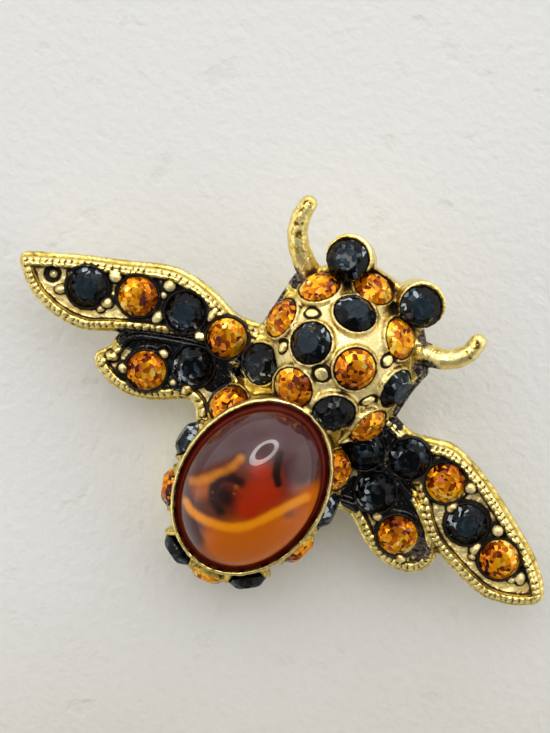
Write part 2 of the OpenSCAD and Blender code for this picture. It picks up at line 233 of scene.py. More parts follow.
def smoothed(piece: Piece) -> None:
    """Shade a piece's faces smooth."""
    pick(piece)
    bpy.ops.object.shade_smooth()


def wrapped(name: str, loops: Sequence[Points]) -> Piece:
    """Make a closed ring from loops of equally many points.

    Args:
        name: the piece's name.
        loops: the ring's lengthwise lines, in order round its section, each closed on itself.

    Returns:
        The ring, with its section closed and its faces outwards.
    """
    around, across = len(loops[0]), len(loops)
    bpy.ops.mesh.primitive_grid_add(x_subdivisions=around, y_subdivisions=across, size=1)
    piece = started(name)
    grid = corners(piece)
    column = np.rint((grid[:, 0] + 0.5) * around).astype(int) % around
    row = np.rint((grid[:, 1] + 0.5) * across).astype(int) % across
    shape(piece, np.array(loops)[row, column])
    with editing(piece):
        bpy.ops.mesh.remove_doubles(threshold=MERGE)
        bpy.ops.mesh.normals_make_consistent(inside=False)
    return piece


def ease(values: Points, low: float, high: float) -> Points:
    """Rise smoothly from 0 at low to 1 at high."""
    t = np.clip((values - low) / (high - low), 0, 1)
    return t * t * (3 - 2 * t)


def hill(values: Points, middle: float, half: float) -> Points:
    """Rise smoothly to 1 at the middle, and fall to about a third at half a width on each side."""
    return np.exp(-(((values - middle) / half) ** 2))


def turned(x: "Points | Wire", y: "Points | Wire", angle: float) -> "tuple[Points | Wire, Points | Wire]":
    """Measure points, by their steps across and up, along axes that are turned against the clock in radians."""
    c, s = math.cos(angle), math.sin(angle)
    return x * c + y * s, y * c - x * s


def flowing(points: Points, steps: int) -> Points:
    """Draw a smooth curve through all but the first and the last of some points.

    Args:
        points: two columns.
        steps: points of the curve for each stretch.

    Returns:
        The curve's points, two columns.
    """
    a, b, c, d = (points[k : len(points) - 3 + k, None] for k in range(4))
    t = np.linspace(0, 1, steps, endpoint=False)[None, :, None]
    curve = 2 * b + (c - a) * t + (2 * a - 5 * b + 4 * c - d) * t**2 + (3 * b - a - 3 * c + d) * t**3
    return (0.5 * curve).reshape(-1, 2)


def grain(co: Points, scale: float, seed: float = 0.0) -> Points:
    """Give smooth noise from about -1 to 1 at each point.

    Args:
        co: points in millimetres.
        scale: features per millimetre.
        seed: shift that gives another pattern.
    """
    shift = Vector((seed, 1.7 * seed, 2.3 * seed))
    return np.array([noise.noise(Vector(p) * scale + shift) for p in co])


# Finishes


def maths(operation: str, swapped: bool = False) -> "Callable[..., Wire]":
    """Make a method that carries one of Python's operators, or a word, into a Math node.

    Args:
        operation: Blender's name of the operation.
        swapped: whether the wire comes second, as in a number minus a wire.

    Returns:
        The method, which takes a wire or a number, or nothing where the operation takes one value.
    """

    def method(wire: "Wire", other: "Wire | float | None" = None) -> "Wire":
        """Add the node, and fill its sockets with links and numbers.

        Args:
            wire: the value that the operation starts from.
            other: the second value, if there is one.

        Returns:
            The node's result.
        """
        node = wire.tree.nodes.new("ShaderNodeMath")
        node.operation = operation
        for socket, value in zip(node.inputs, (other, wire) if swapped else (wire, other)):
            if isinstance(value, Wire):
                wire.tree.links.new(value.socket, socket)
            elif value is not None:
                socket.default_value = value
        return Wire(wire.tree, node.outputs[0])

    return method


@dataclass(frozen=True, eq=False)
class Wire:
    """One value among a finish's nodes, which Python's operators carry into Math nodes."""

    tree: bpy.types.NodeTree
    socket: bpy.types.NodeSocket

    __add__ = __radd__ = maths("ADD")
    __sub__, __rsub__ = maths("SUBTRACT"), maths("SUBTRACT", swapped=True)
    __mul__ = maths("MULTIPLY")
    __gt__, __lt__ = maths("GREATER_THAN"), maths("LESS_THAN")
    topped, bearing = maths("MAXIMUM"), maths("ARCTAN2")
    unsigned, cosine, root = maths("ABSOLUTE"), maths("COSINE"), maths("SQRT")


class Graph:
    """A node tree while it is made."""

    def __init__(self, tree: bpy.types.NodeTree) -> None:
        """Keep the tree."""
        self.tree = tree

    def node(self, kind: str, settings: Values = None, inputs: Values = None, output: str | int = 0) -> Wire:
        """Add any node.

        Args:
            kind: the node's type, without its ShaderNode prefix.
            settings: the node's own fields, and "stops" for a ramp's positions and colours.
            inputs: the values or links of its sockets, by name or number.
            output: the socket to give back.

        Returns:
            The chosen output.
        """
        added = self.tree.nodes.new("ShaderNode" + kind)
        for name, value in (settings or {}).items():
            if name == "stops":
                ramp = added.color_ramp
                while len(ramp.elements) < len(value):
                    ramp.elements.new(0.5)
                for element, (position, colour) in zip(ramp.elements, value):
                    element.position = position
                    element.color = (*colour, 1)
            else:
                setattr(added, name, value)
        for name, value in (inputs or {}).items():
            if isinstance(value, Wire):
                self.tree.links.new(value.socket, added.inputs[name])
            else:
                added.inputs[name].default_value = value
        return Wire(self.tree, added.outputs[output])

    def vector(self, operation: str, first: Wire, second: "Wire | Colour | float" = 1.0) -> Wire:
        """Work on a vector with another one in the second socket, or with a scale in the fourth."""
        socket = 3 if isinstance(second, float) else 1
        return self.node("VectorMath", {"operation": operation}, {0: first, socket: second})

    def parts(self, vector: Wire) -> tuple[Wire, Wire, Wire]:
        """Split a vector into its three numbers."""
        return tuple(self.node("SeparateXYZ", inputs={0: vector}, output=k) for k in range(3))

    def step(self, value: Wire, low: float, high: float) -> Wire:
        """Rise smoothly from 0 at low to 1 at high."""
        ends = {"Value": value, "From Min": low, "From Max": high}
        return self.node("MapRange", {"interpolation_type": "SMOOTHSTEP"}, ends)

    def blend(self, share: Wire, first: "Wire | Colour", second: "Wire | Colour") -> Wire:
        """Go from the first colour to the second by a share, with the Mix node's colour sockets, 6 and 7."""
        low, high = (side if isinstance(side, Wire) else (*side, 1) for side in (first, second))
        return self.node("Mix", {"data_type": "RGBA"}, {0: share, 6: low, 7: high}, output=2)


class Finish(Graph):
    """A material while it is made: its nodes and its one principled shader."""

    def __init__(self, name: str, **constants: float | tuple[float, ...]) -> None:
        """Start a material.

        Args:
            name: the material's name.
            constants: values of the shader's sockets that are the same all over, with _ for each space.
        """
        self.material = bpy.data.materials.new(name)
        self.material.use_nodes = True
        super().__init__(self.material.node_tree)
        self.shader = self.tree.nodes["Principled BSDF"]
        for socket, value in constants.items():
            self.shader.inputs[socket.replace("_", " ").title().replace("Ior", "IOR")].default_value = value

    def stored(self, name: str, output: str = "Fac") -> Wire:
        """Read what was painted on the mesh under a name."""
        return self.node("Attribute", {"attribute_name": name}, output=output)

    def cloud(self, size_mm: float, detail: float = 3.0, seed: float = 0.0) -> Wire:
        """Give noise from 0 to 1 on the piece's own coordinates, with features of a size in millimetres."""
        moved = self.vector("ADD", self.node("TexCoord", output="Object"), (seed, seed, seed))
        return self.node("TexNoise", inputs={"Vector": moved, "Scale": 1000 / size_mm, "Detail": detail})

    def rough(self, height: Wire, strength: float, depth_mm: float) -> None:
        """Raise the surface's relief by a height pattern."""
        relief = self.node("Bump", inputs={"Height": height, "Strength": strength, "Distance": depth_mm * 0.001})
        self.feed(Normal=relief)

    def feed(self, **sockets: Wire) -> Material:
        """Link what changes over the surface to the shader.

        Args:
            sockets: a wire for each socket, by its name with _ for each space.

        Returns:
            The material.
        """
        for name, wire in sockets.items():
            self.tree.links.new(wire.socket, self.shader.inputs[name.replace("_", " ")])
        return self.material


@dataclass(frozen=True)
class AntiqueGold:
    """Gold plate, pale on the ridges, with dark patina and painted shade in the recesses, painted highlights on the
    beads and black enamel in places.
    """

    bright: Colour = (0.88, 0.75, 0.31)
    deep: Colour = (0.56, 0.4, 0.07)
    brown: Colour = (0.19, 0.11, 0.025)
    patina: Colour = (0.012, 0.009, 0.006)
    enamel: Colour = (0.003, 0.003, 0.0035)
    ash: Colour = (0.36, 0.34, 0.28)
    cream: Colour = (0.74, 0.63, 0.32)
    soil: Colour = (0.15, 0.11, 0.085)

    def made(self) -> Material:
        """Build the material from what was painted on the metal and three clouds of noise.

        Returns:
            The material.
        """
        f = Finish("antique_gold", specular_ior_level=0.22)
        blotch, speckle, crumb = f.cloud(0.9, 4.0), f.cloud(0.3, 4.0, 3.0), f.cloud(0.2, 3.0, 6.0)
        names = ("recess", "ink", "enamel", "shine", "matt", "grime")
        recess, ink, enamel, shine, matt, grime = (f.stored(name) for name in names)
        uneven = (blotch - 0.5) * 0.4 + (speckle - 0.5) * 0.6
        # The gold goes from bright over deep and brown to patina as it lies deeper, where patina and painted shade
        # fill its hidden hollows, or as painted shade darkens its creases; painted highlights lighten the beads
        depth = recess + uneven + ink * 0.75 - shine * 0.35
        warm = f.blend(f.step(depth + (crumb - 0.5) * 0.6, 0.0, 0.24), self.bright, self.deep)
        toned = f.blend(f.step(depth, 0.26, 0.42), f.blend(matt, warm, self.cream), self.brown)
        dark = f.step(depth, 0.4, 0.55)
        # Grime lies over the gold, and enamel over both, each with pale crumbs in it
        dirt = f.step(grime + (blotch - 0.5) * 0.7 + (speckle - 0.5) * 0.9, 0.3, 0.7)
        crust = f.blend(f.step(speckle + (blotch - 0.5) * 0.5, 0.42, 0.58), self.soil, self.patina)
        soiled = f.blend(dirt, f.blend(dark, toned, self.patina), crust)
        black = f.step(enamel + (speckle - 0.5) * 0.5, 0.4, 0.55)
        filled = f.blend(black, soiled, self.enamel)
        fleck = f.step(crumb, 0.58, 0.66) * (black * (1 - f.step(enamel, 0.7, 1.0) * 0.85)).topped(dirt * 0.7)
        f.rough((f.cloud(0.26, 5.0, 7.0) * (1 + matt) + blotch * 0.6) * (1 - black * 0.85), 0.6, 0.08)
        return f.feed(
            Base_Color=f.blend(fleck, filled, self.ash),
            Metallic=(1 - dark * 0.8) * (1 - black) * (1 - matt * 0.7) * (1 - dirt * 0.6),
            Roughness=(0.25 + speckle * 0.14 + dark * 0.3 + matt * 0.15 + dirt * 0.3) * (1 - black * 0.55),
        )


@dataclass(frozen=True)
class PlainPlate:
    """Smooth plated metal of a bezel or a pin."""

    name: str
    bright: Colour = (0.8, 0.64, 0.3)
    deep: Colour = (0.55, 0.38, 0.12)

    def made(self) -> Material:
        """Build the material.

        Returns:
            The material.
        """
        f = Finish(self.name)
        blotch, speckle = f.cloud(1.6, 4.0, 1.0), f.cloud(0.3, 3.0, 5.0)
        f.rough(speckle, 0.2, 0.03)
        colour = f.blend(f.step(blotch, 0.3, 0.7), self.deep, self.bright)
        return f.feed(Base_Color=colour, Metallic=1 - speckle * 0.1, Roughness=0.2 + blotch * 0.2)


@dataclass(frozen=True)
class FoiledGlass:
    """Faceted glass over foil: each facet of its back shows through the table in a tone of its own, the brightest of
    them painted glints, and each stone has a painted lit side.

    A share of the stones has tables of slate colour. Rings part the table and the facets, at shares of the radius.
    """

    name: str
    tones: tuple[tuple[float, Colour], ...]
    slate: Colour
    slate_share: float
    ior: float
    roughness: float
    metallic: float
    tilt: float
    rings: tuple[float, float] = (0.54, 0.82)

    def made(self) -> Material:
        """Build the material from each stone's own coordinates, which reach 1 at its girdle.

        Returns:
            The material.
        """
        f = Finish(self.name, ior=self.ior, metallic=self.metallic)
        x, y, seed = f.parts(f.stored("cut", "Vector"))
        turn = y.bearing(x) * (0.5 / math.pi) + 0.5
        scallop = (turn * (16 * math.pi)).cosine()
        out = (x * x + y * y).root() * (1 + scallop * 0.04)
        off_table = out > self.rings[0]
        ring = off_table + (out > self.rings[1])
        shard = f.node("CombineXYZ", inputs={0: x + ring * 9, 1: y + ring * 5, 2: seed * 53})
        facets = {"Vector": shard, "Scale": 4.3, "Randomness": 0.9}
        lean = f.node("TexVoronoi", {"distance": "EUCLIDEAN"}, facets, output="Color")
        chance = f.node("SeparateColor", inputs={0: lean})
        # Painted light: one side of each stone is lighter, turned by its seed
        lit_side = ((turn + seed * 3.7) * (2 * math.pi)).cosine()
        tone = chance * 0.85 + 0.07 + lit_side * out * 0.24
        tilted = f.vector("SCALE", f.vector("SUBTRACT", lean, (0.5, 0.5, 0.5)), self.tilt)
        normal = f.vector("NORMALIZE", f.vector("ADD", f.node("NewGeometry", output="Normal"), tilted))
        toned = f.node("ValToRGB", {"stops": self.tones}, {0: tone}, output="Color")
        plain = (1 - off_table) * (seed < self.slate_share) * (0.4 + chance * 0.6)
        colour = f.blend(plain, toned, self.slate)
        return f.feed(Base_Color=colour, Roughness=self.roughness + tone * 0.1, Normal=normal)


@dataclass(frozen=True)
class SwirledGlass:
    """Brown-red glass dome with orange bands, a red heart, a dark core, a dark rim and a painted reflection of the
    pale room.
    """

    body: Colour = (0.1, 0.02, 0.004)
    painted_reflection: Colour = (0.062, 0.014, 0.016)
    field: Colour = (0.56, 0.12, 0.002)
    heart: Colour = (0.36, 0.02, 0.001)
    band: Colour = (0.82, 0.27, 0.002)
    ember: Colour = (0.24, 0.06, 0.012)
    core: Colour = (0.016, 0.0015, 0.001)
    rim: Colour = (0.085, 0.005, 0.001)

    def made(self) -> Material:
        """Build the material from what was painted on the dome, one layer over the other.

        Returns:
            The material.
        """
        f = Finish("swirled_glass", coat_roughness=0.02, specular_ior_level=0.1)
        stir = (f.cloud(2.4, 4.0, 2.0) - 0.5) * 0.95
        streak = (f.cloud(0.9, 4.0, 5.0) - 0.5) * 0.5
        reflecting, edge = f.stored("gloss"), f.stored("rim")
        # Painted reflection: the greyish pale room, given back above a bent line, at the lamp and in the mist, is
        # painted into the colour
        colour = f.blend(f.step(reflecting + streak * 0.6, 0.2, 0.9), self.body, self.painted_reflection)
        layers = (
            ("field", stir * 0.7, 0.2, 0.9, self.field),
            ("heart", stir * 0.8, 0.05, 0.95, self.heart),
            ("core", streak * 0.9, 0.2, 0.95, self.core),
            ("ember", streak, 0.4, 0.95, self.ember),
            ("band", streak * 0.7, 0.2, 1.0, self.band),
        )
        for name, uneven, low, high, tone in layers:
            colour = f.blend(f.step(f.stored(name) + uneven, low, high), colour, tone)
        return f.feed(
            Base_Color=f.blend(f.step(edge, 0.1, 0.9), colour, self.rim),
            Roughness=0.3 + streak * 0.05,
            Coat_Weight=reflecting * (0.85 + stir * 1.4) * (1 - edge * 0.92),
        )


@dataclass(frozen=True)
class PaleCard:
    """White textured card that the brooch lies on, with painted shade that makes it warmer and darker towards the
    tail and darkens its dents.
    """

    light: Colour = (0.8, 0.815, 0.785)
    shade: Colour = (0.62, 0.6, 0.51)

    def made(self) -> Material:
        """Build the material.

        Returns:
            The material.
        """
        f = Finish("pale_card", roughness=0.9)
        x, y, _ = f.parts(f.node("TexCoord", output="Object"))
        tooth, shade_wobble = f.cloud(0.8, 6.0), f.cloud(14.0, 2.0, 4.0)
        dents = f.step(f.cloud(3.0, 5.0, 9.0), 0.6, 0.72)
        f.rough(tooth - dents * 0.5, 0.6, 0.18)
        _, ahead = turned(x, y, PHOTO_TURN)
        # Painted shade: the card falls to the warmer, darker colour towards the tail, with a wobbly edge
        fall = f.step(ahead + (shade_wobble - 0.5) * 0.01 + (tooth - 0.5) * 0.006, -0.042, -0.004)
        ground = f.blend(fall, self.shade, self.light)
        # Painted shade in the dents
        return f.feed(Base_Color=f.blend(dents * tooth * 0.3, ground, self.shade))


class Tint(Enum):
    """The two colours of stone."""

    AMBER = "amber_glass"
    JET = "jet_glass"


# Tones of the amber facets, from dark to bright; the brightest are painted glints
AMBER_TONES = (
    (0.0, (0.04, 0.004, 0.0004)),
    (0.2, (0.16, 0.02, 0.0005)),
    (0.42, (0.5, 0.12, 0.001)),
    (0.7, (0.95, 0.33, 0.001)),
    (0.88, (1.0, 0.55, 0.01)),
    (1.0, (1.0, 0.8, 0.2)),
)
# Tones of the jet facets; the pale top ones are painted glints
JET_TONES = (
    (0.0, (0.0008, 0.0008, 0.001)),
    (0.66, (0.002, 0.003, 0.004)),
    (0.86, (0.02, 0.032, 0.042)),
    (0.93, (0.07, 0.1, 0.12)),
    (1.0, (0.4, 0.48, 0.52)),
)
GLASS = {
    Tint.AMBER: FoiledGlass(
        name="amber_foiled", tones=AMBER_TONES, slate=AMBER_TONES[0][1], slate_share=0.0, ior=1.3, roughness=0.14,
        metallic=0.45, tilt=0.6,
    ),
    Tint.JET: FoiledGlass(
        name="jet_polished", tones=JET_TONES, slate=(0.022, 0.038, 0.05), slate_share=0.6, ior=1.24, roughness=0.08,
        metallic=0.0, tilt=0.22,
    ),
}


# The bee's own layout


@dataclass(frozen=True)
class Layout:
    """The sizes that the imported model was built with, in millimetres.

    The tip is in degrees, and the thorax's heart, the middle of its ball, in shares of its radius.
    """

    tip: float = 10.1766
    lift: float = 5.0384
    middle_x: float = 0.51925
    middle_y: float = 5.9031
    pitch: float = 3.35
    stone_d: float = 3.1
    eye_stone_d: float = 3.15
    bezel_a: float = 7.33
    bezel_b: float = 5.68
    bezel_y: float = -11.4304
    girdle_z: float = 5.65
    thorax_r: float = 5.85
    thorax_heart: tuple[float, float, float] = (0, 0.05, 0.17)
    dome_sink: float = 0.15

    def laid(self) -> Matrix:
        """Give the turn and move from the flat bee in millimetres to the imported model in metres."""
        move = Matrix.Translation((self.middle_x, self.middle_y, self.lift))
        return Matrix.Scale(0.001, 4) @ move @ Matrix.Rotation(math.radians(self.tip), 4, "X")

    def outline(self, table: Line, side: int) -> Points:
        """Draw a wing's smooth outline, with points about a tenth of a millimetre apart.

        Args:
            table: steps out from the bezel and steps back from the thorax's middle.
            side: 1 for the right wing, -1 for the left.

        Returns:
            Points along the outline, two columns.
        """
        p = np.array([(side * (self.bezel_b + u * self.pitch), -v * self.pitch) for u, v in table])
        return flowing(np.vstack([p[-1:], p, p[:2]]), 24)


# Outlines of the wings: steps out from the bezel and steps back from the thorax's middle
LEFT_FORE = (
    (-0.3, 0.4), (0.72, 0.51), (1.31, 0.37), (2, 0.3), (2.66, 0.4), (3.55, 0.85), (4.45, 1.28),
    (5.19, 1.69), (5.61, 1.93), (5.73, 2.08), (5.6, 2.3), (5.04, 2.7), (4.3, 2.86), (3.55, 2.77),
    (2.96, 2.42), (2.36, 2.09), (1.76, 1.79), (1.25, 1.55), (0.72, 1.52), (-0.3, 1.58),
)
RIGHT_FORE = (
    (-0.3, 0.48), (0.72, 0.58), (1.19, 0.46), (1.67, 0.3), (2.21, 0.37), (2.96, 0.6), (3.85, 1.01),
    (4.75, 1.49), (5.25, 1.91), (5.42, 2.18), (5.32, 2.44), (4.9, 2.73), (4.3, 2.92), (3.7, 2.86),
    (3.04, 2.7), (2.51, 2.52), (2.09, 2.24), (1.7, 1.85), (1.37, 1.64), (0.72, 1.58), (-0.3, 1.61),
)
LEFT_HIND = (
    (-0.25, 1.4), (1.01, 1.36), (1.9, 1.66), (2.6, 2.02), (2.82, 2.4), (2.86, 2.78), (3.03, 3.04),
    (2.97, 3.26), (2.66, 3.43), (2.21, 3.53), (1.67, 3.45), (1.19, 3.21), (0.81, 2.92), (0.57, 2.82),
    (0.36, 2.93), (0.18, 3.16), (-0.25, 3.25),
)
RIGHT_HIND = (
    (-0.25, 1.4), (1.01, 1.45), (1.9, 1.75), (2.6, 2.3), (2.8, 2.7), (2.82, 2.96), (2.72, 3.22),
    (2.48, 3.43), (2.06, 3.54), (1.61, 3.5), (1.16, 3.33), (0.81, 3.11), (0.51, 2.99), (0.3, 3.07),
    (0.15, 3.28), (-0.25, 3.37),
)
# Flat beads set in the dome: lean to the front and to the right, half length and half width, and turn
DOME_SOCKETS = (
    (25, -36, 0.64, 0.44, 10), (27, 36, 0.62, 0.5, 75), (-13, -3, 0.66, 0.64, 0), (-18, 42, 0.68, 0.42, 40),
    (-20, -42, 0.6, 0.44, 80),
)
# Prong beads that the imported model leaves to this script: place, half length, half width and turn
PRONGS = (
    (-13.75, -3.45, 0.36, 0.34, 0), (-17.35, -7.0, 0.34, 0.34, 0), (-9.6, -4.6, 0.42, 0.36, 30),
    (-21.9, -6.8, 0.4, 0.4, 0), (-20.75, -7.45, 0.5, 0.36, 40), (-8.3, -8.6, 0.5, 0.42, 60),
    (-14.6, -9.7, 0.5, 0.4, 0), (-9.5, -8.9, 0.36, 0.34, 0), (13.9, -3.65, 0.36, 0.34, 0),
    (20.9, -7.25, 0.38, 0.32, 60), (17.4, -7.45, 0.34, 0.32, 0), (-9.75, -2.6, 0.3, 0.62, 0),
    (-13.72, -2.5, 0.52, 0.5, 0), (-17.67, -4.2, 0.56, 0.5, 0), (-13.2, -5.1, 0.42, 0.58, 0),
    (-17.2, -6.3, 0.5, 0.46, 0), (-20.6, -5.9, 0.44, 0.3, 30), (14.2, -2.95, 0.52, 0.46, 0),
    (13.95, -5.0, 0.42, 0.58, 0), (17.85, -4.6, 0.52, 0.48, 0), (17.2, -6.7, 0.42, 0.6, 0),
    (21.4, -6.8, 0.4, 0.56, 20), (-11.3, -7.3, 0.44, 0.4, 0), (-13.3, -10.0, 0.5, 0.44, 0),
    (12.8, -10.6, 0.46, 0.42, 0), (9.45, -8.85, 0.42, 0.4, 0),
)
# Middle of the round hollow near the left wing's tip
TIP_HOLLOW = (-21.96, -6.834)
# Where the casting is parted: across the wings' roots and across the waist
ROOT, WAIST = 5.9, -3.9
# Patina in corners: place, half length, half width and turn
GRIME = (
    (6.3, 3.0, 1.3, 0.9, 20), (6.4, 0.2, 0.7, 2.6, 0), (-6.1, 3.4, 1.2, 0.9, -20), (-6.3, 0.6, 0.6, 2.4, 0),
    (5.0, 5.0, 0.8, 0.8, 0), (7.8, -2.2, 1.2, 0.6, 0), (13.6, -8.6, 1.2, 2.2, 0),
)
# Black enamel: place, half length, half width and turn
ENAMEL = (
    (-12.6, -7.0, 3.3, 1.45, 22), (-9.2, -6.2, 2.6, 1.6, 10), (-7.2, -4.6, 1.5, 1.9, 0), (-5.8, -4.5, 1.5, 1.3, 0),
    (-9.4, -8.6, 1.6, 0.8, 15), (7.4, -5.0, 1.9, 2.5, 0), (9.4, -6.4, 2.0, 1.4, -24), (7.2, -8.3, 1.3, 1.6, 0),
    (5.7, -4.4, 1.4, 1.4, 0), (11.1, -7.3, 1.5, 0.8, -35), (-6.9, -6.8, 1.3, 1.3, 0), (6.6, -2.3, 0.9, 0.9, 0),
)
# Lines in the glass of the abdomen, seen from above
LOWER_BAND = (
    (-3.54, -14.73), (-2.83, -14.95), (-2.08, -14.9), (-0.86, -14.6), (0.43, -14.0), (1.51, -12.93),
    (2.53, -11.25), (3.21, -10.12), (3.87, -9.29),
)
UPPER_BAND = ((-4.1, -13.1), (-3.3, -12.2), (-2.75, -11.3), (-2.2, -10.3), (-1.9, -9.2))
MIST = ((-4.1, -13.6), (-3.2, -15.1), (-1.5, -16.8))
# The mist is a patch of painted reflection of the room
ARC = ((0.35, -7.4), (0.6, -8.1), (0.95, -8.8), (1.5, -9.35))
HOOK = ((-1.1, -13.4), (-2.0, -13.0), (-2.4, -12.1), (-2.2, -11.2), (-1.6, -10.8), (-0.9, -10.7))
# Lower edge of the pale room that the glass gives back
HAZE_EDGE = (
    (-7.0, -16.0), (-4.9, -13.6), (-4.35, -12.65), (-3.75, -11.6), (-3.0, -10.3), (-2.2, -9.0), (-1.3, -7.9),
    (0.3, -7.2), (1.3, -8.4), (2.3, -9.5), (3.0, -9.3), (3.9, -7.6), (5.4, -8.0),
)
# Soft patches in the glass: place and size
HEARTS = ((0.9, -10.6, 1.8), (0.7, -12.1, 1.2), (-0.1, -9.2, 1.0))
EMBERS = ((-1.05, -11.2, 0.3), (-0.9, -11.7, 0.22), (-2.3, -12.6, 0.16), (-2.1, -13.0, 0.14))
# Section of the bezel's strip: steps out from the bezel's oval, and height
BEZEL_SECTION = (
    (-0.1, 5.1), (0.03, 5.3), (0.07, 5.45), (0.06, 5.7), (0.0, 5.9), (-0.12, 6.0), (-0.24, 5.95), (-0.3, 5.8),
    (-0.28, 5.3), (-0.24, 5.1),
)


@dataclass
class StoneSeat:
    """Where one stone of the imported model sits, on the flat bee."""

    node: str
    tint: Tint
    middle: Vector
    axis: Vector
    diameter: float

    def local(self, co: Points) -> tuple[Points, Points]:
        """Measure points from the stone.

        Args:
            co: the points.

        Returns:
            Each point's distance from the stone's axis, and its height over the stone's girdle.
        """
        offset = co - np.array(self.middle)
        height = offset @ np.array(self.axis)
        return np.linalg.norm(offset - height[:, None] * np.array(self.axis), axis=1), height


@dataclass
class Bee:
    """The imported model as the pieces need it: its layout, its stones and its nodes on the flat bee."""

    frame: dict[str, object]
    box: Box
    layout: Layout = field(default_factory=Layout)
    seats: list[StoneSeat] = field(default_factory=list)
    table_rise: float = 0.235

    def __post_init__(self) -> None:
        """Read every stone's place and turn from its node."""
        self.flat = self.layout.laid().inverted()
        slots = {row["node"]: row["material_slot"] for row in self.frame["record"]["subparts"]}
        for name in sorted(self.frame["nodes"]):
            if "stone" in name:
                self.seats.append(self.seat(name, Tint(slots[name])))

    def facing(self, face: bpy.types.MeshPolygon) -> tuple[int, ...]:
        """Give a face's normal in steps of a fiftieth, which all faces of one facet share."""
        return tuple(round(v * 50) for v in face.normal)

    def seat(self, node: str, tint: Tint) -> StoneSeat:
        """Find a stone's place from its table, its largest facet.

        Args:
            node: the stone's node.
            tint: its colour.

        Returns:
            The seat, with the middle of the stone's girdle and its axis.
        """
        mesh = self.frame["nodes"][node].data
        areas: dict[tuple[int, ...], float] = {}
        for face in mesh.polygons:
            areas[self.facing(face)] = areas.get(self.facing(face), 0) + face.area
        table = max(areas, key=areas.get)
        faces = [f for f in mesh.polygons if self.facing(f) == table]
        middle = self.flat @ (sum((f.center * f.area for f in faces), Vector()) / sum(f.area for f in faces))
        axis = (self.flat.to_3x3() @ faces[0].normal).normalized()
        size = self.layout.eye_stone_d if node.startswith("eye") else self.layout.stone_d
        return StoneSeat(node, tint, middle - axis * size * self.table_rise, axis, size)

    def tree(self, *nodes: str) -> BVHTree:
        """Gather nodes for rays to meet.

        Args:
            nodes: their names.

        Returns:
            A tree of their faces, on the flat bee.
        """
        points, faces = [], []
        for name in nodes:
            mesh = self.frame["nodes"][name].data
            start = len(points)
            points += [self.flat @ v.co for v in mesh.vertices]
            faces += [[start + k for k in face.vertices] for face in mesh.polygons]
        return BVHTree.FromPolygons(points, faces)

    def place(self, piece: Piece, material: Material, slot: str, node: str) -> None:
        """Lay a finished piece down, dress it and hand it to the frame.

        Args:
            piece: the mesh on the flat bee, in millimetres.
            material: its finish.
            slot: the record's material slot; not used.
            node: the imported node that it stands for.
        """
        piece.data.transform(self.layout.laid())
        shape(piece, np.clip(corners(piece), *np.array(self.box)))
        piece.data.materials.clear()
        piece.data.materials.append(material)
        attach(piece, "root")
        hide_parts(node)
        LOG.info("%s: %d faces", piece.name, len(piece.data.polygons))


# Cast metal


